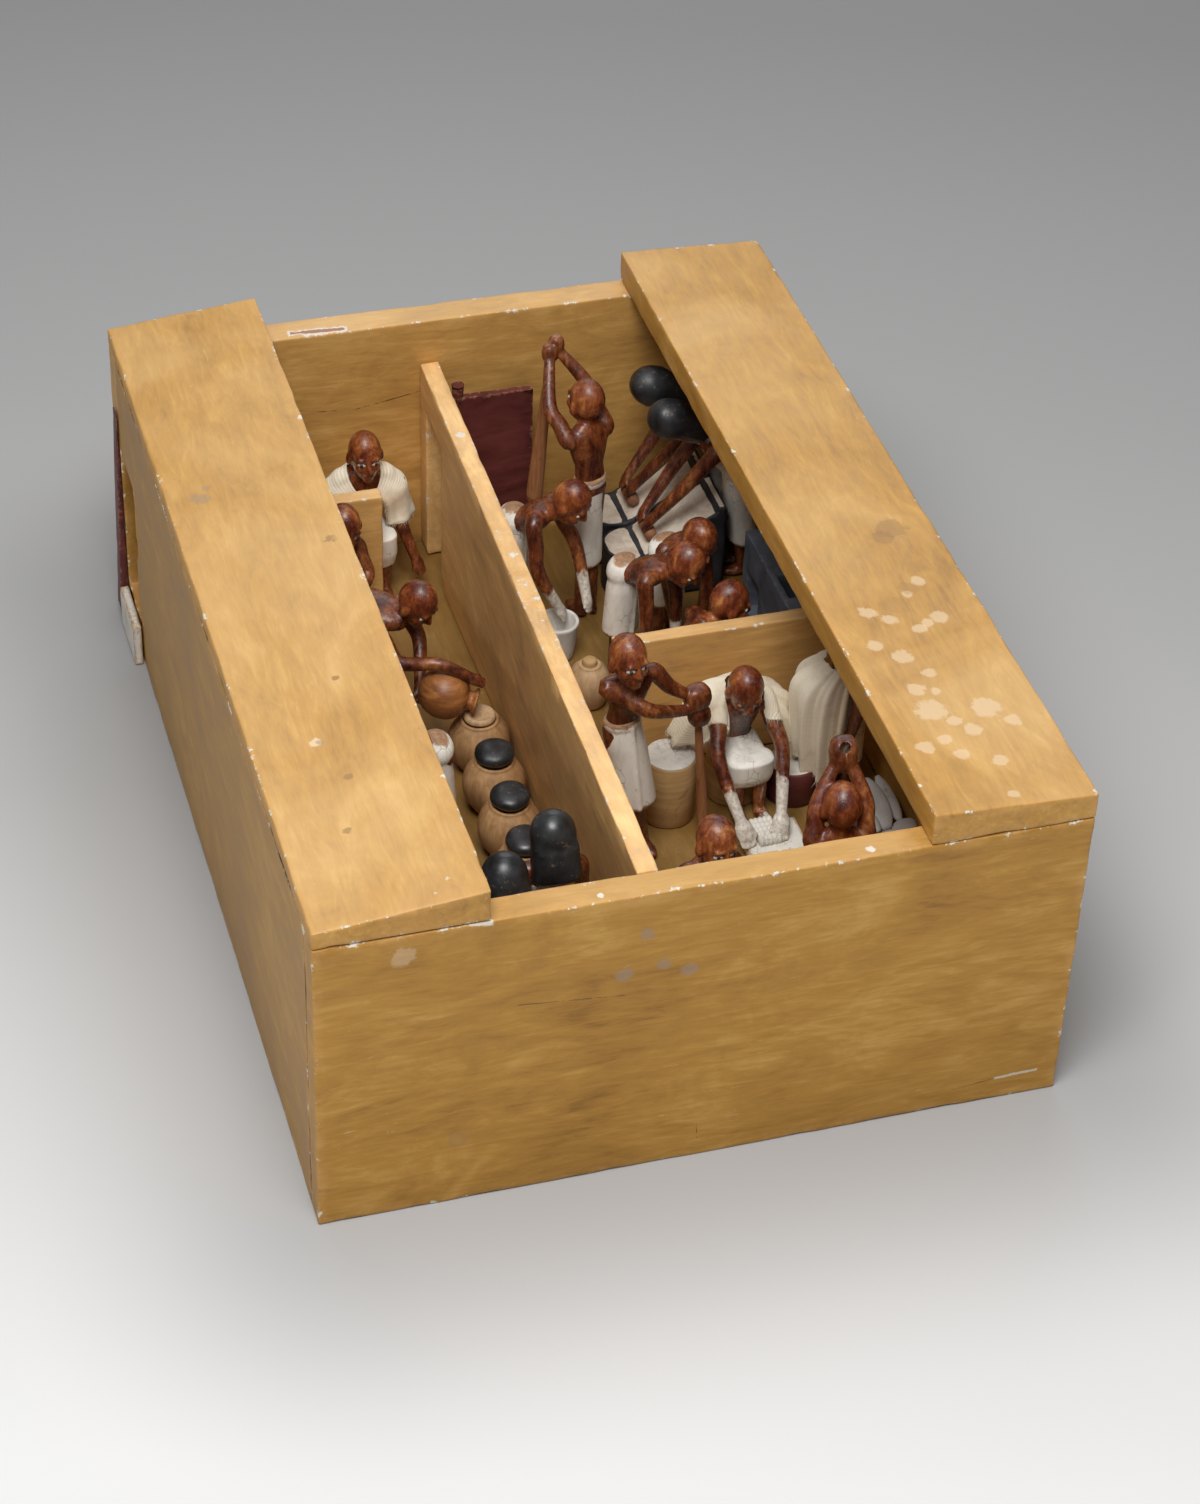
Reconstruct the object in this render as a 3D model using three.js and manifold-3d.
// A painted wooden tomb model of a bakery and brewery: an open box of boards, divided into a corridor and
// two rooms, with small servant figures at work. Millimetres, +Z up, front wall towards -Y.

import * as THREE from 'three';
import Module from 'manifold-3d';
import { mergeVertices } from 'three/addons/utils/BufferGeometryUtils.js';

const wasm = await Module();
wasm.setup();

// Gap between pieces that touch
const gap = 0.3;

// Main sizes of the box
const house = { width: 534, length: 725, wallTop: 250 };
const wall = { front: 23, back: 26, left: 23, right: 23 };
const floorTop = 38;
const roof = {
  leftWidth: 118,
  rightWidth: 117,
  thick: 25.7,
  leftOuterThick: 13.7,
  rightOuterThick: 20.7,
};

// Dividing board between the corridor and the rooms, which leans towards the corridor at the front
const divider = {
  thick: 16,
  fromRight: 289,
  leanFront: 24,
  leanBack: 1,
  frontHeight: 211,
  backHeight: 174,
  doorFromBack: 24,
  doorWidth: 54,
  doorHeight: 143,
};

// Board between the two rooms
const cross = { thick: 14, pastMiddle: 8.5, height: 120, passage: 52 };

// Low partition in front of the overseer
const partition = { thick: 14, fromBack: 88, height: 112, fromDivider: 52 };

// Entrance in the left wall
const entrance = {
  width: 52,
  height: 130,
  fromBack: 30,
  leafThick: 8,
  leafInset: 14,
  sillReach: 8,
  sillOverlap: 8,
  postWidth: 14,
  postFoot: 12,
  postHeight: 190,
};

// Door leaves and their pivots
const pivot = { pinRadius: 3, pinLength: 6, knobRadius: 5.5, knobHeight: 12 };
const roomLeaf = { width: 62, thick: 7, height: 152, fromDivider: 9, backOffset: 23 };

// Places of the inside boards. The rooms keep their width, and the corridor takes what is left.
const dividerFootX = house.width - divider.fromRight;
const dividerTopFrontX = dividerFootX - divider.leanFront;
const dividerTopBackX = dividerFootX - divider.leanBack;
const crossNearY = house.length / 2 + cross.pastMiddle;
const partitionEndX = dividerFootX - partition.fromDivider;
const partitionNearY = house.length - wall.back - partition.fromBack;

const room = {
  bakery: {
    x0: dividerFootX + divider.thick,
    x1: house.width - wall.right,
    y0: crossNearY + cross.thick,
    y1: house.length - wall.back,
  },
  kneading: {
    x0: dividerFootX + divider.thick,
    x1: house.width - wall.right,
    y0: wall.front,
    y1: crossNearY,
  },
};

const colours = {
  ochre: new THREE.MeshStandardMaterial({ color: 0xc99a4b, roughness: 0.75, metalness: 0 }),
  maroon: new THREE.MeshStandardMaterial({ color: 0x4a1a1c, roughness: 0.6, metalness: 0 }),
  skin: new THREE.MeshStandardMaterial({ color: 0x7a3318, roughness: 0.35, metalness: 0 }),
  jar: new THREE.MeshStandardMaterial({ color: 0xb07a45, roughness: 0.6, metalness: 0 }),
  black: new THREE.MeshStandardMaterial({ color: 0x1c1d1f, roughness: 0.4, metalness: 0 }),
  white: new THREE.MeshStandardMaterial({ color: 0xd9d2c4, roughness: 0.85, metalness: 0 }),
  linen: new THREE.MeshStandardMaterial({ color: 0xcdbf9f, roughness: 0.95, metalness: 0 }),
  grey: new THREE.MeshStandardMaterial({ color: 0x5a5d66, roughness: 0.7, metalness: 0 }),
  olive: new THREE.MeshStandardMaterial({ color: 0x9a8453, roughness: 0.8, metalness: 0 }),
};

// Solids from closed three.js geometries, and back
function solid(geometry) {
  const bare = geometry.index ? geometry.clone() : geometry;
  bare.deleteAttribute('normal');
  bare.deleteAttribute('uv');
  const merged = mergeVertices(bare, 1e-4);
  return new wasm.Manifold(new wasm.Mesh({
    numProp: 3,
    vertProperties: new Float32Array(merged.attributes.position.array),
    triVerts: new Uint32Array(merged.index.array),
  }));
}

function geometryOf(manifold) {
  const mesh = manifold.getMesh();
  const geometry = new THREE.BufferGeometry();
  geometry.setAttribute('position', new THREE.BufferAttribute(mesh.vertProperties, 3));
  geometry.setIndex(new THREE.BufferAttribute(mesh.triVerts, 1));
  geometry.computeVertexNormals();
  return geometry;
}

function joined(geometries) {
  return geometries.map(solid).reduce((all, one) => all.add(one));
}

// Simple shapes
function block(x0, x1, y0, y1, z0, z1) {
  const geometry = new THREE.BoxGeometry(x1 - x0, y1 - y0, z1 - z0);
  return geometry.translate((x0 + x1) / 2, (y0 + y1) / 2, (z0 + z1) / 2);
}

function upright(radiusTop, radiusFoot, x, y, z0, z1, sides = 16) {
  const geometry = new THREE.CylinderGeometry(radiusTop, radiusFoot, z1 - z0, sides);
  return geometry.rotateX(Math.PI / 2).translate(x, y, (z0 + z1) / 2);
}

function turned(profile, sides = 14) {
  const points = profile.map(([radius, height]) => new THREE.Vector2(radius, height));
  return new THREE.LatheGeometry(points, sides).rotateX(Math.PI / 2);
}

// A straight limb with round section between two points
function limb(from, to, radiusFrom, radiusTo, sides = 5) {
  const along = new THREE.Vector3().subVectors(to, from);
  const geometry = new THREE.CylinderGeometry(radiusTo, radiusFrom, along.length(), sides);
  const turn = new THREE.Quaternion().setFromUnitVectors(
    new THREE.Vector3(0, 1, 0),
    along.clone().normalize(),
  );
  const middle = from.clone().add(to).multiplyScalar(0.5);
  return geometry.applyQuaternion(turn).translate(middle.x, middle.y, middle.z);
}

function ball(centre, radius) {
  return new THREE.IcosahedronGeometry(radius).translate(centre.x, centre.y, centre.z);
}

// A board whose eight corners are given as two rings of four, bottom and top, anticlockwise from above
function board(bottom, top) {
  const corners = [...bottom, ...top];
  const geometry = new THREE.BufferGeometry();
  geometry.setAttribute('position', new THREE.Float32BufferAttribute(corners.flat(), 3));
  const faces = [0, 2, 1, 0, 3, 2, 4, 5, 6, 4, 6, 7];
  for (let side = 0; side < 4; side += 1) {
    const next = (side + 1) % 4;
    faces.push(side, next, next + 4, side, next + 4, side + 4);
  }
  geometry.setIndex(faces);
  return geometry;
}

// The model, measured from the outer front left corner of the box
const model = new THREE.Group();
const left = -entrance.sillReach;
model.position.set(-(left + house.width) / 2, -house.length / 2, 0);

function piece(name, geometry, colour) {
  const mesh = new THREE.Mesh(geometry, colours[colour]);
  mesh.name = name;
  model.add(mesh);
  return mesh;
}

// Walls and floor
const inner = {
  x0: wall.left,
  x1: house.width - wall.right,
  y0: wall.front,
  y1: house.length - wall.back,
};
const doorway = {
  y1: house.length - entrance.fromBack,
  y0: house.length - entrance.fromBack - entrance.width,
};
const entrancePivot = {
  x: entrance.leafInset + entrance.leafThick / 2,
  y: doorway.y1 - gap - entrance.leafThick / 2,
};
const roomDoor = {
  y1: inner.y1 - divider.doorFromBack,
  y0: inner.y1 - divider.doorFromBack - divider.doorWidth,
};
const roomPivot = {
  x: dividerFootX + divider.thick + roomLeaf.fromDivider,
  y: inner.y1 - roomLeaf.backOffset,
};

function socket(x, y) {
  return solid(upright(
    pivot.pinRadius + gap,
    pivot.pinRadius + gap,
    x,
    y,
    floorTop - pivot.pinLength - gap,
    floorTop + 1,
    12,
  ));
}

const floorBoard = block(inner.x0 + gap, inner.x1 - gap, inner.y0 + gap, inner.y1 - gap, 0, floorTop);
const floorSolid = solid(floorBoard).subtract(socket(roomPivot.x, roomPivot.y));
piece('base_board', geometryOf(floorSolid), 'ochre');
piece('front_wall', block(0, house.width, 0, wall.front, 0, house.wallTop), 'ochre');
piece(
  'back_wall',
  block(0, house.width, inner.y1, house.length, 0, house.wallTop),
  'ochre',
);
piece(
  'right_wall',
  block(inner.x1, house.width, inner.y0 + gap, inner.y1 - gap, 0, house.wallTop),
  'ochre',
);

const doorHead = floorTop + entrance.height;
const leftBoard = solid(block(0, wall.left, inner.y0 + gap, inner.y1 - gap, 0, house.wallTop));
const doorCut = solid(block(-1, wall.left + 1, doorway.y0, doorway.y1, floorTop, doorHead));
const headSocket = solid(upright(
  pivot.pinRadius + gap,
  pivot.pinRadius + gap,
  entrancePivot.x,
  entrancePivot.y,
  doorHead - 1,
  doorHead + pivot.pinLength + gap,
  12,
));
const leftSolid = leftBoard
  .subtract(doorCut)
  .subtract(socket(entrancePivot.x, entrancePivot.y))
  .subtract(headSocket);
piece('left_wall', geometryOf(leftSolid), 'ochre');

// Roof boards over the two long sides, thicker at their inner edge
function roofBoard(outerX, innerX, outerThick) {
  const z = house.wallTop + gap;
  const x0 = Math.min(outerX, innerX);
  const x1 = Math.max(outerX, innerX);
  const topAt = (x) => house.wallTop + (x === outerX ? outerThick : roof.thick) + gap;
  const corners = (height) => [
    [x0, 0, height(x0)],
    [x1, 0, height(x1)],
    [x1, house.length, height(x1)],
    [x0, house.length, height(x0)],
  ];
  return board(corners(() => z), corners(topAt));
}
piece('left_roof_board', roofBoard(0, roof.leftWidth, roof.leftOuterThick), 'ochre');
piece(
  'right_roof_board',
  roofBoard(house.width, house.width - roof.rightWidth, roof.rightOuterThick),
  'ochre',
);

// Dividing board with its doorway
const dividerY0 = inner.y0 + gap;
const dividerY1 = inner.y1 - gap;
const dividerFoot = floorTop + gap;
const dividerBoard = board(
  [
    [dividerFootX, dividerY0, dividerFoot],
    [dividerFootX + divider.thick, dividerY0, dividerFoot],
    [dividerFootX + divider.thick, dividerY1, dividerFoot],
    [dividerFootX, dividerY1, dividerFoot],
  ],
  [
    [dividerTopFrontX, dividerY0, floorTop + divider.frontHeight],
    [dividerTopFrontX + divider.thick, dividerY0, floorTop + divider.frontHeight],
    [dividerTopBackX + divider.thick, dividerY1, floorTop + divider.backHeight],
    [dividerTopBackX, dividerY1, floorTop + divider.backHeight],
  ],
);
const dividerCut = block(
  dividerTopFrontX - 1,
  dividerFootX + divider.thick + 1,
  roomDoor.y0,
  roomDoor.y1,
  floorTop,
  floorTop + divider.doorHeight,
);
piece('dividing_board', geometryOf(solid(dividerBoard).subtract(solid(dividerCut))), 'ochre');

// Board between the rooms, open at its left end
const crossX0 = room.bakery.x0 + cross.passage;
piece(
  'cross_board',
  block(
    crossX0,
    inner.x1 - gap,
    crossNearY,
    crossNearY + cross.thick,
    floorTop + gap,
    floorTop + cross.height,
  ),
  'ochre',
);

// Partition beside the entrance
piece(
  'corridor_partition',
  block(
    inner.x0 + gap,
    partitionEndX,
    partitionNearY,
    partitionNearY + partition.thick,
    floorTop + gap,
    floorTop + partition.height,
  ),
  'ochre',
);

// Sill and back post of the entrance, on the outer face of the left wall
piece(
  'entrance_sill',
  block(left, -gap, doorway.y0 - entrance.sillOverlap, doorway.y1 - gap, 0, floorTop),
  'white',
);
const postY0 = doorway.y1;
const postY1 = doorway.y1 + entrance.postWidth;
const postTop = entrance.postFoot + entrance.postHeight;
piece(
  'entrance_post',
  board(
    [
      [left, postY0, entrance.postFoot],
      [-gap, postY0, entrance.postFoot],
      [-gap, postY1, entrance.postFoot],
      [left, postY1, entrance.postFoot],
    ],
    [
      [left / 4, postY0, postTop],
      [-gap, postY0, postTop],
      [-gap, postY1, postTop],
      [left / 4, postY1, postTop],
    ],
  ),
  'olive',
);

// A door leaf: a board with one rounded edge on its pivot, and pins in the sockets
function leaf(x, y, length, thick, z0, z1, direction) {
  const half = thick / 2;
  const panel = direction === 'front'
    ? block(x - half, x + half, y - length, y, z0, z1)
    : block(x, x + length, y - half, y + half, z0, z1);
  const stile = upright(half, half, x, y, z0, z1, 12);
  const pin = upright(pivot.pinRadius, pivot.pinRadius, x, y, floorTop - pivot.pinLength, z0 + 1, 12);
  return [panel, stile, pin];
}

const entranceLeafTop = doorHead - gap;
piece(
  'entrance_door',
  geometryOf(joined([
    ...leaf(
      entrancePivot.x,
      entrancePivot.y,
      entrance.width - 3 * gap - entrance.leafThick / 2,
      entrance.leafThick,
      floorTop + gap,
      entranceLeafTop,
      'front',
    ),
    upright(
      pivot.pinRadius,
      pivot.pinRadius,
      entrancePivot.x,
      entrancePivot.y,
      entranceLeafTop - 1,
      doorHead + pivot.pinLength,
      12,
    ),
  ])),
  'maroon',
);

const roomLeafTop = floorTop + roomLeaf.height;
piece(
  'room_door',
  geometryOf(joined([
    ...leaf(
      roomPivot.x,
      roomPivot.y,
      roomLeaf.width,
      roomLeaf.thick,
      floorTop + gap,
      roomLeafTop,
      'right',
    ),
    upright(
      pivot.knobRadius,
      pivot.knobRadius * 0.8,
      roomPivot.x,
      roomPivot.y,
      roomLeafTop - 1,
      roomLeafTop + pivot.knobHeight,
      12,
    ),
  ])),
  'maroon',
);

// Carved figures. Joints are given as [forward, to the figure's left, up], from the point on the floor
// between the feet.
const body = {
  head: [17, 14.5, 19],
  neck: 6,
  shoulder: 18.5,
  chestDeep: 10,
  chestWide: 19,
  waistWide: 13,
  hip: 15,
  upperArm: 5.5,
  wrist: 4,
  hand: 5.5,
  thigh: 7.5,
  ankle: 5,
};

function figure(name, place, facing, pose, seat = [], bores = []) {
  const turn = THREE.MathUtils.degToRad(facing);
  const forward = new THREE.Vector3(Math.cos(turn), Math.sin(turn), 0);
  const side = new THREE.Vector3(-Math.sin(turn), Math.cos(turn), 0);
  const at = ([f, s, u]) => new THREE.Vector3(place[0], place[1], floorTop + gap + u)
    .addScaledVector(forward, f)
    .addScaledVector(side, s);
  const ellipsoid = (centre, [deep, wide, tall]) => {
    const geometry = new THREE.SphereGeometry(1, 7, 5).rotateX(Math.PI / 2).scale(deep, wide, tall);
    const c = at(centre);
    return geometry.rotateZ(turn).translate(c.x, c.y, c.z);
  };
  const flat = (from, to, wideFrom, wideTo, deep, sides = 6) => {
    const a = at(from);
    const b = at(to);
    const long = new THREE.Vector3().subVectors(b, a);
    const geometry = new THREE.CylinderGeometry(wideTo / deep, wideFrom / deep, long.length(), sides);
    geometry.rotateX(Math.PI / 2).rotateZ(Math.PI / sides);
    const axisZ = long.clone().normalize();
    const axisY = side.clone();
    const axisX = new THREE.Vector3().crossVectors(axisY, axisZ).normalize();
    const squash = new THREE.Matrix4().makeScale(deep * (deep / Math.max(wideFrom, wideTo)), deep, 1);
    const basis = new THREE.Matrix4().makeBasis(axisX, axisY, axisZ);
    geometry.applyMatrix4(squash).applyMatrix4(basis);
    const middle = a.add(b).multiplyScalar(0.5);
    return geometry.translate(middle.x, middle.y, middle.z);
  };

  const { head, chest, hips } = pose;
  const parts = [...seat];
  parts.push(ellipsoid(head, body.head));
  parts.push(limb(at(chest), at(head), body.neck + 1, body.neck));
  parts.push(flat(hips, chest, body.waistWide, body.chestWide, body.chestDeep));
  const shoulders = [1, -1].map((hand) => [chest[0], chest[1] + hand * body.shoulder, chest[2]]);
  parts.push(limb(at(shoulders[0]), at(shoulders[1]), body.upperArm + 1, body.upperArm + 1));
  pose.arms.forEach(([elbow, hand], index) => {
    const [f, s, u] = elbow.map((value, axis) => value - shoulders[index][axis]);
    const past = 1 + body.wrist / 2 / Math.hypot(f, s, u);
    const bend = elbow.map((value, axis) => (
      shoulders[index][axis] + (value - shoulders[index][axis]) * past
    ));
    parts.push(limb(at(shoulders[index]), at(bend), body.upperArm, body.wrist + 0.8));
    parts.push(limb(at(elbow), at(hand), body.wrist + 0.8, body.wrist));
    parts.push(ball(at(hand), body.hand));
  });
  if (pose.knees) {
    pose.knees.forEach((knee, index) => {
      const foot = pose.feet[index];
      const hipJoint = [hips[0], hips[1] + (index ? -6 : 6), hips[2]];
      parts.push(limb(at(hipJoint), at(knee), body.hip - 4, body.thigh));
      parts.push(limb(at([knee[0], knee[1], knee[2] + 3]), at(foot), body.thigh, body.ankle));
    });
    parts.push(flat(
      [hips[0] - 2, hips[1], hips[2] - 8],
      [hips[0], hips[1], hips[2] + 14],
      body.hip + 2,
      body.waistWide + 1,
      body.chestDeep + 3,
    ));
  } else {
    const hem = pose.hem ?? [0, 0, 50];
    const waist = [hips[0], hips[1], hips[2] + 4];
    parts.push(flat(hem, waist, body.hip + 1, body.waistWide + 1, body.chestDeep + 1));
    pose.feet.forEach((foot) => {
      const ankle = [foot[0], foot[1], foot[2]];
      const under = [hem[0], hem[1] + foot[1] * 0.8, hem[2] + 6];
      parts.push(limb(at(under), at(ankle), body.thigh - 0.5, body.ankle));
    });
  }
  if (pose.wig) {
    parts.push(flat(pose.wig, [head[0] - 3, head[1], head[2] + 3], 19, 17, 12));
    parts.push(ellipsoid([head[0] - 3, head[1], head[2] + 5], [18, 17.5, 18]));
  }
  const underFloor = block(0, house.width, 0, house.length, -floorTop, floorTop + gap);
  const carved = [underFloor, ...bores].reduce((all, one) => all.subtract(solid(one)), joined(parts));
  return piece(name, geometryOf(carved), 'skin');
}

const standing = { head: [4, 0, 192], chest: [0, 0, 166], hips: [0, 0, 126] };
const feet = [[2, 8, 0], [-2, -8, 0]];

// Places in a room, as shares of its width and length from its front left corner
function inRoom({ x0, x1, y0, y1 }, u, v) {
  return [x0 + u * (x1 - x0), y0 + v * (y1 - y0)];
}

// Corridor: the overseer on his block beside the entrance
const overseerAt = [partitionEndX - 5, inner.y1 - 41];
const overseerBlock = block(
  overseerAt[0] - 16,
  overseerAt[0] + 16,
  overseerAt[1] - 8,
  inner.y1 - gap,
  floorTop + gap,
  floorTop + 50,
);
figure('overseer', overseerAt, -90, {
  head: [6, 0, 124],
  chest: [-3, 0, 97],
  hips: [-3, 0, 54],
  arms: [
    [[8, 26, 64], [24, 38, 26]],
    [[6, -23, 70], [22, -20, 64]],
  ],
  knees: [[24, 11, 52], [24, -7, 52]],
  feet: [[25, 11, 0], [25, -7, 0]],
}, [overseerBlock]);

// A small figure in front of the partition
const smallAt = [dividerFootX - 98, partitionNearY - 28];
figure('partition_servant', smallAt, -80, {
  head: [5, 6, 110],
  chest: [0, 0, 86],
  hips: [-2, 0, 46],
  arms: [
    [[14, 22, 66], [30, 8, 62]],
    [[12, -24, 66], [30, -8, 62]],
  ],
  knees: [[22, 10, 40], [22, -10, 40]],
  feet: [[20, 10, 0], [20, -10, 0]],
});

// Vats along the dividing board, each with a stopper; the first has a strainer
const vat = {
  radius: 24,
  foot: 13,
  mouth: 12,
  height: 46,
  pitch: 51,
  fromBack: 297,
  fromDivider: 28,
  slant: 1.8,
  count: 4,
  stopperRadius: 15,
  stopperHeight: 13,
};
const vatProfile = [
  [0, 0],
  [vat.foot, 0],
  [vat.radius * 0.88, vat.height * 0.25],
  [vat.radius, vat.height * 0.55],
  [vat.radius * 0.86, vat.height * 0.82],
  [vat.mouth + 3, vat.height],
  [0, vat.height],
];
const firstVatY = inner.y1 - vat.fromBack;
function vatPlace(index) {
  return [dividerFootX - vat.fromDivider - index * vat.slant, firstVatY - index * vat.pitch];
}
for (let index = 0; index < vat.count; index += 1) {
  const [x, y] = vatPlace(index);
  piece(`vat_${index + 1}`, turned(vatProfile).translate(x, y, floorTop + gap), 'jar');
  if (index > 0) {
    const profile = [
      [0, 0],
      [vat.stopperRadius * 0.7, 0],
      [vat.stopperRadius, vat.stopperHeight * 0.42],
      [vat.stopperRadius * 0.72, vat.stopperHeight * 0.86],
      [0, vat.stopperHeight],
    ];
    const stopper = turned(profile, 14).translate(x, y, floorTop + vat.height + 2 * gap);
    piece(`vat_stopper_${index + 1}`, stopper, 'black');
  }
}
const [strainX, strainY] = vatPlace(0);
const strainer = { radius: 14, thick: 5 };
const strainerZ = floorTop + vat.height + 2 * gap;
piece(
  'strainer',
  upright(
    strainer.radius * 0.8,
    strainer.radius,
    strainX,
    strainY,
    strainerZ,
    strainerZ + strainer.thick,
    14,
  ),
  'jar',
);

// The bending brewer, who empties a round jar over the strainer
const heldJar = { radius: 20, neck: 6, length: 42 };
const heldJarAt = [strainX - 25, strainY + 10, strainerZ + 21];
const heldProfile = [
  [0, -heldJar.radius],
  [heldJar.radius * 0.72, -heldJar.radius * 0.72],
  [heldJar.radius, 0],
  [heldJar.radius * 0.78, heldJar.radius * 0.66],
  [heldJar.neck, heldJar.radius * 0.95],
  [heldJar.neck + 1.5, heldJar.length - heldJar.radius],
  [0, heldJar.length - heldJar.radius],
];
const held = turned(heldProfile, 14);
held.rotateY(THREE.MathUtils.degToRad(104));
held.rotateZ(THREE.MathUtils.degToRad(-22));
piece('held_jar', held.translate(...heldJarAt), 'jar');
figure('brewer', [strainX - 95, strainY + 111], -50, {
  head: [84, 6, 124],
  chest: [60, 0, 108],
  hips: [4, 0, 112],
  arms: [
    [[81, 14, 82], [97, -8, 57]],
    [[92, -26, 91], [139, 0, 94]],
  ],
  hem: [2, 0, 54],
  feet,
});

// A man in a long kilt beside the vats
figure('vat_servant', [dividerFootX - 86, firstVatY - 2.1 * vat.pitch], 180, {
  head: [56, 0, 152],
  chest: [40, 0, 138],
  hips: [4, 0, 112],
  arms: [
    [[52, 22, 100], [64, 14, 68]],
    [[52, -22, 100], [64, -14, 68]],
  ],
  hem: [0, 0, 40],
  feet,
});

// Two women at the front of the corridor
const womanPose = {
  head: [3, 0, 167],
  chest: [0, 0, 139],
  hips: [0, 0, 102],
  arms: [
    [[8, 24, 103], [26, 20, 84]],
    [[8, -24, 103], [26, -20, 84]],
  ],
  hem: [0, 0, 34],
  feet,
  wig: [-9, 0, 138],
};
figure('woman_near', [dividerFootX - 95, inner.y0 + 62], 90, womanPose);
figure('woman_far', [dividerFootX - 52, inner.y0 + 96], 90, womanPose);

// Bakery: the man with the bucket
const bucket = { rim: 17, foot: 13, height: 34, wall: 3, base: 4 };
const bucketAt = inRoom(room.bakery, 0.207, 0.434);
const bucketSolid = solid(turned([
  [0, 0],
  [bucket.foot, 0],
  [bucket.rim, bucket.height],
  [bucket.rim - bucket.wall, bucket.height],
  [bucket.foot - bucket.wall, bucket.base],
  [0, bucket.base],
]));
piece('bucket', geometryOf(bucketSolid).translate(...bucketAt, floorTop + gap), 'white');
figure('bucket_man', [bucketAt[0] - 26, bucketAt[1] + 49], -40, {
  head: [50, 0, 134],
  chest: [26, 0, 116],
  hips: [2, 0, 102],
  arms: [
    [[50, 15, 82], [66, 2, 44]],
    [[36, -26, 78], [51, -16, 41]],
  ],
  hem: [0, 0, 46],
  feet,
});

// The pounder with raised arms beside him, and his pestle
const pounderAt = [bucketAt[0] + 37, bucketAt[1] + 47];
const pestle = { top: 3, foot: 6.5, length: 118, aboveFists: 6 };
const fistReach = 50;
const fistHeight = 224;
const pounderFacing = 112;
const pounderTurn = THREE.MathUtils.degToRad(pounderFacing);
const pestleAt = [
  pounderAt[0] + fistReach * Math.cos(pounderTurn),
  pounderAt[1] + fistReach * Math.sin(pounderTurn),
];
const pestleTop = floorTop + fistHeight + pestle.aboveFists;
const pestleRod = (clearance) => upright(
  pestle.top + clearance,
  pestle.foot + clearance,
  ...pestleAt,
  pestleTop - pestle.length - clearance,
  pestleTop + clearance,
  8,
);
figure('raised_pounder', pounderAt, pounderFacing, {
  ...standing,
  head: [11, -2, 197],
  chest: [5, 0, 170],
  hips: [0, 0, 130],
  arms: [
    [[27, 21, 194], [fistReach, 4, fistHeight]],
    [[31, -16, 202], [fistReach, -4, fistHeight]],
  ],
  hem: [0, 0, 50],
  feet: [[1, 7, 0], [-1, -7, 0]],
}, [], [pestleRod(gap)]);
piece('raised_pestle', pestleRod(0), 'jar');

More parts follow.
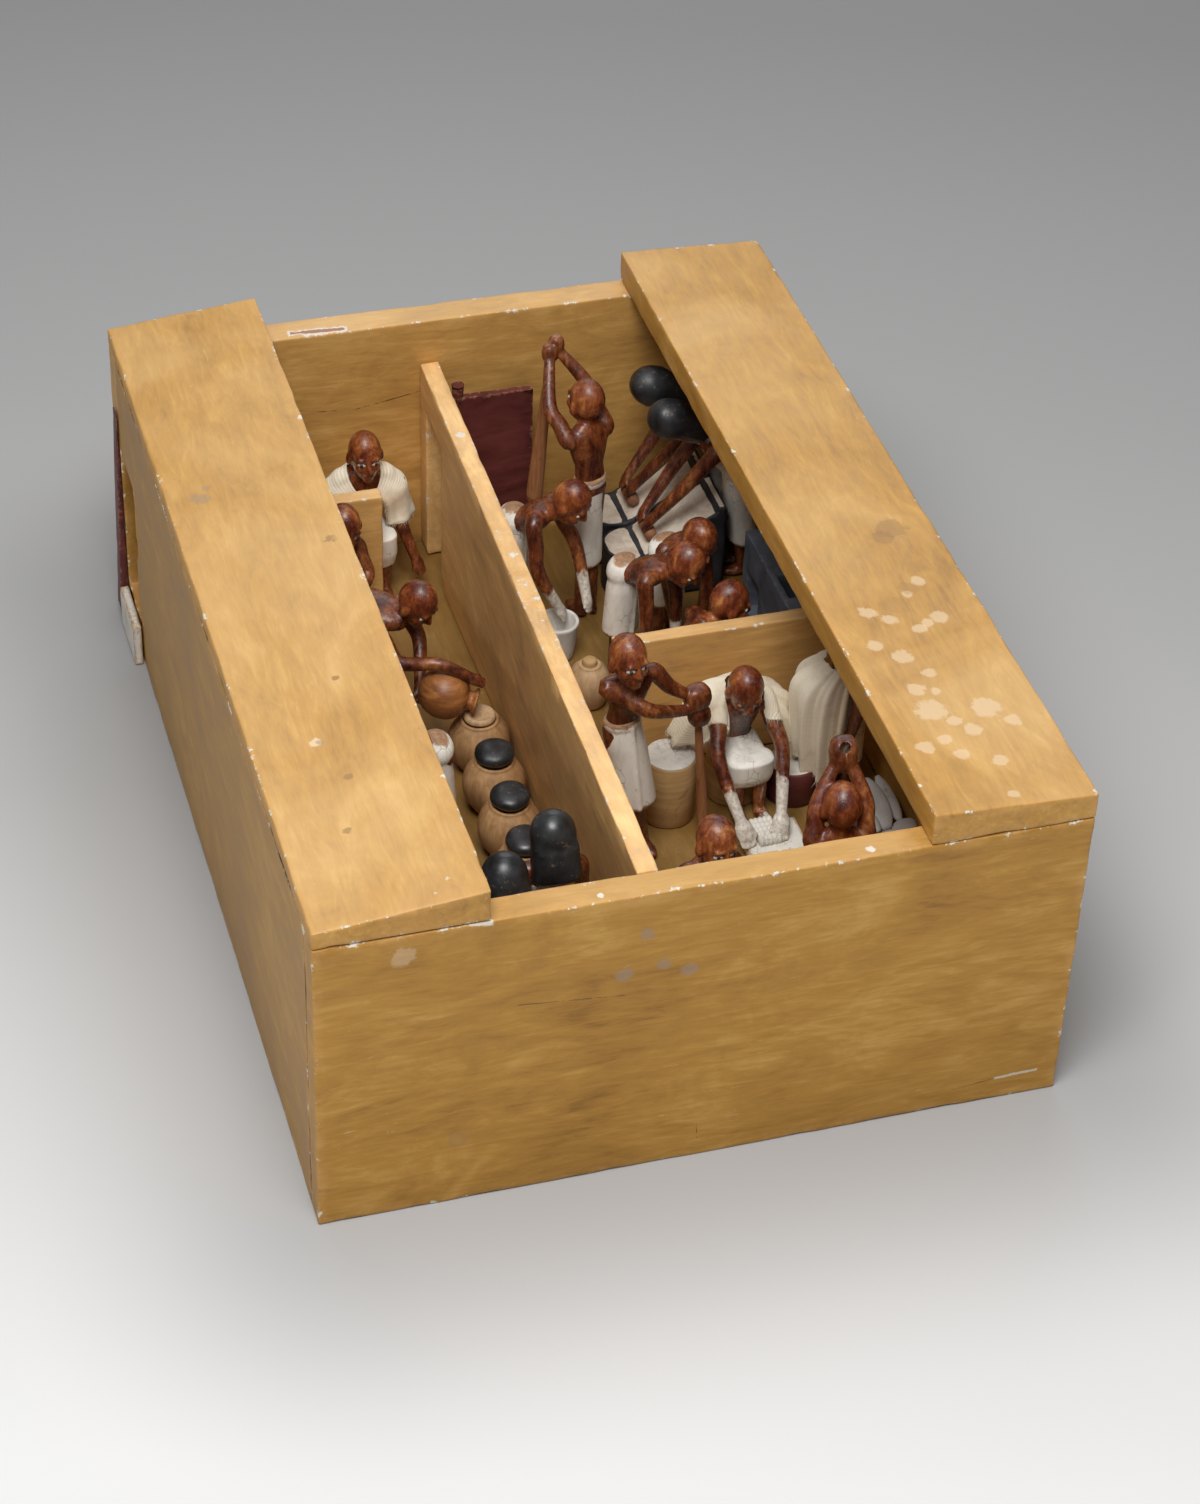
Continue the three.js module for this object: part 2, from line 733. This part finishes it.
// Two grinding bins with their stones, and the women who grind
const bin = {
  length: 96,
  width: 46,
  low: 42,
  high: 80,
  pitch: 49,
  fromRight: 42,
  round: 20,
  fromBack: 124,
};
const stone = { radius: 6, length: 26 };
function grindingStation(name, index) {
  const x1 = inner.x1 - bin.fromRight;
  const x0 = x1 - bin.length;
  const y0 = inner.y1 - bin.fromBack + index * bin.pitch;
  const y1 = y0 + bin.width;
  const z = floorTop + gap;
  const r = bin.round;
  const outline = new THREE.Shape();
  outline.moveTo(x1, y0);
  outline.lineTo(x1, y1);
  outline.lineTo(x0 + r, y1);
  outline.absarc(x0 + r, y1 - r, r, Math.PI / 2, Math.PI, false);
  outline.absarc(x0 + r, y0 + r, r, Math.PI, 1.5 * Math.PI, false);
  outline.closePath();
  const tall = new THREE.ExtrudeGeometry(outline, {
    depth: bin.high,
    bevelEnabled: false,
    curveSegments: 4,
  }).translate(0, 0, z);
  const slope = (bin.high - bin.low) / (bin.length * 0.72);
  const start = x0 + bin.length * 0.28;
  const above = board(
    [
      [x0 - 2, y0 - 1, z + bin.low],
      [start, y0 - 1, z + bin.low],
      [start, y1 + 1, z + bin.low],
      [x0 - 2, y1 + 1, z + bin.low],
    ],
    [
      [x0 - 2, y0 - 1, z + bin.high + 2],
      [start, y0 - 1, z + bin.high + 2],
      [start, y1 + 1, z + bin.high + 2],
      [x0 - 2, y1 + 1, z + bin.high + 2],
    ],
  );
  const wedge = board(
    [
      [start - 0.01, y0 - 1, z + bin.low],
      [x1 - 8, y0 - 1, z + bin.low + slope * (x1 - 8 - start)],
      [x1 - 8, y1 + 1, z + bin.low + slope * (x1 - 8 - start)],
      [start - 0.01, y1 + 1, z + bin.low],
    ],
    [
      [start - 0.01, y0 - 1, z + bin.high + 2],
      [x1 - 8, y0 - 1, z + bin.high + 2],
      [x1 - 8, y1 + 1, z + bin.high + 2],
      [start - 0.01, y1 + 1, z + bin.high + 2],
    ],
  );
  const shape = solid(tall).subtract(solid(above)).subtract(solid(wedge));
  piece(`${name}_grinding_bin`, geometryOf(shape), 'black');

  const stoneX = x0 + 36;
  const stoneLift = (stone.radius + gap) / Math.cos(Math.atan(slope));
  const stoneZ = z + bin.low + slope * (stoneX - start) + stoneLift;
  const middle = (y0 + y1) / 2;
  piece(
    `${name}_grinding_stone`,
    limb(
      new THREE.Vector3(stoneX, middle - stone.length / 2, stoneZ),
      new THREE.Vector3(stoneX, middle + stone.length / 2, stoneZ),
      stone.radius,
      stone.radius,
      8,
    ),
    'jar',
  );
  const reach = x1 + 22 - stoneX;
  const handHeight = stoneZ - floorTop + stone.radius + body.hand + 0.6;
  figure(`${name}_grinder`, [x1 + 22, middle], 180, {
    head: [reach - 16, 0, 154],
    chest: [reach - 50, 0, 131],
    hips: [8, 0, 98],
    arms: [
      [[reach - 24, 15, handHeight + 32], [reach, 8, handHeight]],
      [[reach - 24, -15, handHeight + 32], [reach, -8, handHeight]],
    ],
    hem: [0, 0, 30],
    feet: [[1, 7, 0], [-1, -7, 0]],
    wig: [reach - 40, 0, 142],
  });
}
grindingStation('near', 0);
grindingStation('far', 1);

// Men between the bins, the ovens and the board between the rooms
figure('dough_man', inRoom(room.bakery, 0.376, 0.3217), -48, {
  head: [52, 0, 128],
  chest: [28, 0, 112],
  hips: [0, 0, 100],
  arms: [
    [[34, 22, 78], [38, 18, 40]],
    [[34, -22, 78], [34, -20, 42]],
  ],
  hem: [-2, 0, 44],
  feet,
});
figure('batter_man', inRoom(room.bakery, 0.564, 0.433), -70, {
  head: [36, 0, 118],
  chest: [16, 0, 102],
  hips: [-2, 0, 86],
  arms: [
    [[28, 18, 66], [30, 12, 34]],
    [[28, -18, 66], [30, -12, 34]],
  ],
  hem: [-2, 0, 38],
  feet: [[0, 7, 0], [-2, -7, 0]],
});
figure('oven_man', inRoom(room.bakery, 0.52, 0.08), 0, {
  head: [24, 0, 112],
  chest: [2, 0, 92],
  hips: [-6, 0, 50],
  arms: [
    [[24, 16, 70], [44, 8, 62]],
    [[24, -16, 70], [44, -8, 62]],
  ],
  knees: [[18, 10, 46], [18, -10, 46]],
  feet: [[14, 10, 0], [14, -10, 0]],
});

// Ovens against the right wall
const oven = { wide: 38, length: 118, height: 80, wall: 6, fromCross: 40, mouthHigh: 34, mouthWide: 26 };
const ovenX0 = inner.x1 - gap - oven.wide;
const ovenNear = room.bakery.y0 + oven.fromCross;
const ovenZ = floorTop + gap;
const stoke = {
  x0: ovenX0 + oven.wall,
  x1: inner.x1 - gap - oven.wall,
  y0: ovenNear + oven.length * 0.2,
  y1: ovenNear + oven.length * 0.2 + 30,
};
const ovenSolid = solid(block(
  ovenX0,
  inner.x1 - gap,
  ovenNear,
  ovenNear + oven.length,
  ovenZ,
  ovenZ + oven.height,
))
  .subtract(solid(block(stoke.x0, stoke.x1, stoke.y0, stoke.y1, ovenZ + 30, ovenZ + oven.height + 1)))
  .subtract(solid(block(
    ovenX0 - 1,
    stoke.x1,
    ovenNear + oven.length * 0.66,
    ovenNear + oven.length * 0.66 + oven.mouthWide,
    ovenZ + 12,
    ovenZ + 12 + oven.mouthHigh,
  )));
piece('oven', geometryOf(ovenSolid), 'grey');

// A stoppered jar beside the passage
const smallJarAt = inRoom(room.bakery, 0.236, 0.226);
const smallJar = { radius: 17, height: 38, stopper: 6 };
const smallJarBody = turned([
  [0, 0],
  [11, 0],
  [smallJar.radius, smallJar.height * 0.45],
  [smallJar.radius * 0.8, smallJar.height * 0.85],
  [smallJar.stopper + 2, smallJar.height],
  [0, smallJar.height],
], 14);
const smallJarStopper = upright(
  smallJar.stopper * 0.8,
  smallJar.stopper,
  0,
  0,
  smallJar.height - 1,
  smallJar.height + 5,
  10,
);
piece(
  'passage_jar',
  geometryOf(joined([smallJarBody, smallJarStopper])).translate(...smallJarAt, floorTop + gap),
  'jar',
);

// Kneading room: the man who pounds with a tall pestle
const stamperAt = inRoom(room.kneading, 0.168, 0.735);
const tallPestle = { top: 2.8, foot: 4.7, length: 134, lean: 12, lift: 1 };
const stamperReach = { forward: 8, aside: 44.5 };
const stamperFacing = -75;
const gripHeight = tallPestle.length + 1;
const stamperTurn = THREE.MathUtils.degToRad(stamperFacing);
const tallPestleTop = new THREE.Vector3(
  stamperAt[0] + stamperReach.forward * Math.cos(stamperTurn) - stamperReach.aside * Math.sin(stamperTurn),
  stamperAt[1] + stamperReach.forward * Math.sin(stamperTurn) + stamperReach.aside * Math.cos(stamperTurn),
  floorTop + tallPestle.length,
);
const tallPestleFoot = new THREE.Vector3(
  tallPestleTop.x + tallPestle.lean,
  tallPestleTop.y,
  floorTop + tallPestle.lift,
);
const tallPestleRod = (clearance) => limb(
  tallPestleFoot,
  tallPestleTop.clone().setZ(tallPestleTop.z + clearance),
  tallPestle.foot + clearance,
  tallPestle.top + clearance,
  8,
);
figure('pestle_man', stamperAt, stamperFacing, {
  ...standing,
  head: [9, -17, 190],
  chest: [0, -9, 162],
  hips: [-3, -13, 124],
  arms: [
    [[4, 24, gripHeight + 12], [stamperReach.forward, stamperReach.aside - 3.5, gripHeight]],
    [[20, -2, gripHeight + 11], [stamperReach.forward, stamperReach.aside + 3.5, gripHeight - 4]],
  ],
  hem: [0, 0, 46],
  feet,
}, [], [tallPestleRod(gap)]);
piece('tall_pestle', tallPestleRod(0), 'jar');

// Drums behind the kneader
const drum = { radius: 20.5, height: 57 };
const lowDrum = { radius: 20, height: 32 };
const seat = { radius: 22, height: 36 };
const kneaderAt = [room.kneading.x0 + 136, crossNearY - seat.radius - 22];
const drumAt = [kneaderAt[0] - 56.5, kneaderAt[1] - 14];
const lowDrumAt = [kneaderAt[0] + 42, kneaderAt[1] - 14];
piece(
  'tall_drum',
  upright(drum.radius, drum.radius, ...drumAt, floorTop + gap, floorTop + drum.height, 18),
  'olive',
);
piece(
  'low_drum',
  upright(lowDrum.radius, lowDrum.radius, ...lowDrumAt, floorTop + gap, floorTop + lowDrum.height, 18),
  'maroon',
);
piece(
  'kneader_seat',
  upright(seat.radius, seat.radius, ...kneaderAt, floorTop + gap, floorTop + seat.height, 16),
  'olive',
);

// The kneader at his board
const kneadingBoard = { width: 46, length: 40, height: 10 };
const kneadAt = [kneaderAt[0] + 9, kneaderAt[1] - 72];
piece(
  'kneading_board',
  block(
    kneadAt[0] - kneadingBoard.width / 2,
    kneadAt[0] + kneadingBoard.width / 2,
    kneadAt[1] - kneadingBoard.length / 2,
    kneadAt[1] + kneadingBoard.length / 2,
    floorTop + gap,
    floorTop + kneadingBoard.height,
  ),
  'white',
);
figure('kneader', kneaderAt, -87, {
  head: [22, -5, 114],
  chest: [8, -2, 92],
  hips: [-4, 0, seat.height + 14],
  arms: [
    [[38, 22, 62], [70, 11, 22]],
    [[38, -28, 62], [70, -19, 22]],
  ],
  knees: [[28, 9, 46], [28, -9, 46]],
  feet: [[32, 9, 0], [32, -9, 0]],
});

// Two men at the front wall of the kneading room
const lostPestleMan = {
  place: inRoom(room.kneading, 0.476, 0.132),
  facing: 84,
  reach: 27,
  aside: 5,
  height: 221,
};
const lostPestleTurn = THREE.MathUtils.degToRad(lostPestleMan.facing);
const lostPestleBore = upright(
  pestle.top + gap,
  pestle.top + gap,
  lostPestleMan.place[0] + lostPestleMan.reach * Math.cos(lostPestleTurn) + lostPestleMan.aside,
  lostPestleMan.place[1] + lostPestleMan.reach * Math.sin(lostPestleTurn),
  floorTop + lostPestleMan.height - 2 * body.hand,
  floorTop + lostPestleMan.height + 2 * body.hand,
  8,
);
figure('lost_pestle_man', lostPestleMan.place, lostPestleMan.facing, {
  ...standing,
  head: [2, 0, 194],
  chest: [0, 0, 168],
  arms: [
    [[12, 14, 192], [lostPestleMan.reach, -1, lostPestleMan.height]],
    [[12, -19, 192], [lostPestleMan.reach, -9, lostPestleMan.height]],
  ],
  feet,
}, [], [lostPestleBore]);
figure('front_man', inRoom(room.kneading, 0.098, 0.118), -78, {
  ...standing,
  head: [8, 0, 194],
  arms: [
    [[8, 26, 126], [24, 18, 100]],
    [[8, -26, 126], [24, -18, 100]],
  ],
  feet,
});

// The woman under the right roof board, with linen over her
const linenWomanAt = [inner.x1 - 33, kneaderAt[1] - 21];
figure('linen_woman', linenWomanAt, 180, {
  head: [14, 0, 156],
  chest: [4, 0, 130],
  hips: [0, 0, 96],
  arms: [
    [[2, 23, 98], [6, 20, 70]],
    [[2, -23, 98], [6, -20, 70]],
  ],
  hem: [0, 0, 34],
  feet: [[0, 7, 0], [0, -7, 0]],
  wig: [0, 0, 134],
});

// Low table with loaves under the right roof board
const table = { width: 42, length: 78, height: 12, fromCross: 166 };
const tableX0 = inner.x1 - gap - table.width;
const tableNear = crossNearY - table.fromCross;
piece(
  'loaf_table',
  block(
    tableX0,
    inner.x1 - gap,
    tableNear,
    tableNear + table.length,
    floorTop + gap,
    floorTop + table.height,
  ),
  'maroon',
);
const loaf = { length: 42, width: 9, thick: 6, count: 2, pitch: 30, tilt: 12 };
const loafZ = floorTop + table.height + gap;
for (let index = 0; index < loaf.count; index += 1) {
  const outline = new THREE.Shape();
  outline.moveTo(0, 0);
  outline.bezierCurveTo(loaf.width, loaf.length * 0.25, loaf.width, loaf.length * 0.75, 0, loaf.length);
  outline.bezierCurveTo(-loaf.width, loaf.length * 0.75, -loaf.width, loaf.length * 0.25, 0, 0);
  const shape = new THREE.ExtrudeGeometry(outline, {
    depth: loaf.thick,
    bevelEnabled: false,
    curveSegments: 5,
  });
  const drop = loaf.thick * Math.cos(THREE.MathUtils.degToRad(loaf.tilt));
  shape.rotateX(THREE.MathUtils.degToRad(loaf.tilt));
  shape.translate(
    tableX0 + loaf.width + 4 + (index % 2) * 14,
    tableNear + 4 + index * loaf.pitch + drop,
    loafZ,
  );
  piece(`loaf_${index + 1}`, shape, 'white');
}

// Linen. A cape is a thin bell round the shoulders, open at the front, with folds running down it.
function cape(name, place, facing, size) {
  const rings = 6;
  const steps = 16;
  const half = THREE.MathUtils.degToRad(size.wrap / 2);
  const turn = THREE.MathUtils.degToRad(facing);
  const positions = [];
  const index = [];
  const count = (rings + 1) * (steps + 1);
  for (const layer of [0, 1]) {
    for (let ring = 0; ring <= rings; ring += 1) {
      const t = ring / rings;
      const spread = Math.sin(Math.min(1, t * size.shoulderPace) * Math.PI / 2);
      const wide = size.neck + (size.shoulderWide - size.neck) * spread + size.flare * t * t;
      const deep = size.neck + (size.shoulderDeep - size.neck) * spread + size.flare * t * t * 0.6;
      for (let step = 0; step <= steps; step += 1) {
        const s = (step / steps) * 2 - 1;
        const angle = Math.PI + s * half;
        const fold = size.fold * t * Math.cos(s * Math.PI * size.folds);
        const out = layer * size.thick;
        const drop = size.length * t + size.side * t * Math.abs(s);
        const f = (deep + fold + out) * Math.cos(angle) + size.lean * (1 - t);
        const l = (wide + fold + out) * Math.sin(angle);
        positions.push(
          place[0] + f * Math.cos(turn) - l * Math.sin(turn),
          place[1] + f * Math.sin(turn) + l * Math.cos(turn),
          size.top - drop,
        );
      }
    }
  }
  const node = (layer, ring, step) => layer * count + ring * (steps + 1) + step;
  const quad = (a, b, c, d) => index.push(a, b, c, a, c, d);
  for (let ring = 0; ring < rings; ring += 1) {
    const below = ring + 1;
    for (let step = 0; step < steps; step += 1) {
      const beside = step + 1;
      quad(node(1, ring, step), node(1, below, step), node(1, below, beside), node(1, ring, beside));
      quad(node(0, ring, step), node(0, ring, beside), node(0, below, beside), node(0, below, step));
    }
    quad(node(1, ring, 0), node(0, ring, 0), node(0, below, 0), node(1, below, 0));
    quad(node(0, ring, steps), node(1, ring, steps), node(1, below, steps), node(0, below, steps));
  }
  for (let step = 0; step < steps; step += 1) {
    quad(node(1, 0, step), node(1, 0, step + 1), node(0, 0, step + 1), node(0, 0, step));
    quad(node(0, rings, step), node(0, rings, step + 1), node(1, rings, step + 1), node(1, rings, step));
  }
  const geometry = new THREE.BufferGeometry();
  geometry.setAttribute('position', new THREE.Float32BufferAttribute(positions, 3));
  geometry.setIndex(index);
  geometry.computeVertexNormals();
  return piece(name, geometry, 'linen');
}

cape('overseer_shawl', overseerAt, -90, {
  top: floorTop + 109.8,
  neck: 13,
  shoulderWide: 31,
  shoulderDeep: 15.5,
  shoulderPace: 2.4,
  flare: 5,
  length: 42,
  side: 6,
  fold: 1.6,
  folds: 3,
  lean: 0,
  thick: 1.6,
  wrap: 215,
});
cape('kneader_cape', [kneaderAt[0] - 4, kneaderAt[1]], -87, {
  top: floorTop + 103.8,
  neck: 15,
  shoulderWide: 34,
  shoulderDeep: 14,
  shoulderPace: 2.2,
  flare: 8,
  length: 40,
  side: 5,
  fold: 2,
  folds: 3,
  lean: 12,
  thick: 1.6,
  wrap: 200,
});

cape('linen_cloth', linenWomanAt, 0, {
  top: floorTop + 132,
  neck: 24,
  shoulderWide: 30,
  shoulderDeep: 27,
  shoulderPace: 2.6,
  flare: 2,
  length: 94,
  side: 4,
  fold: 2.2,
  folds: 4,
  lean: 0,
  thick: 1.6,
  wrap: 150,
});

export default model;
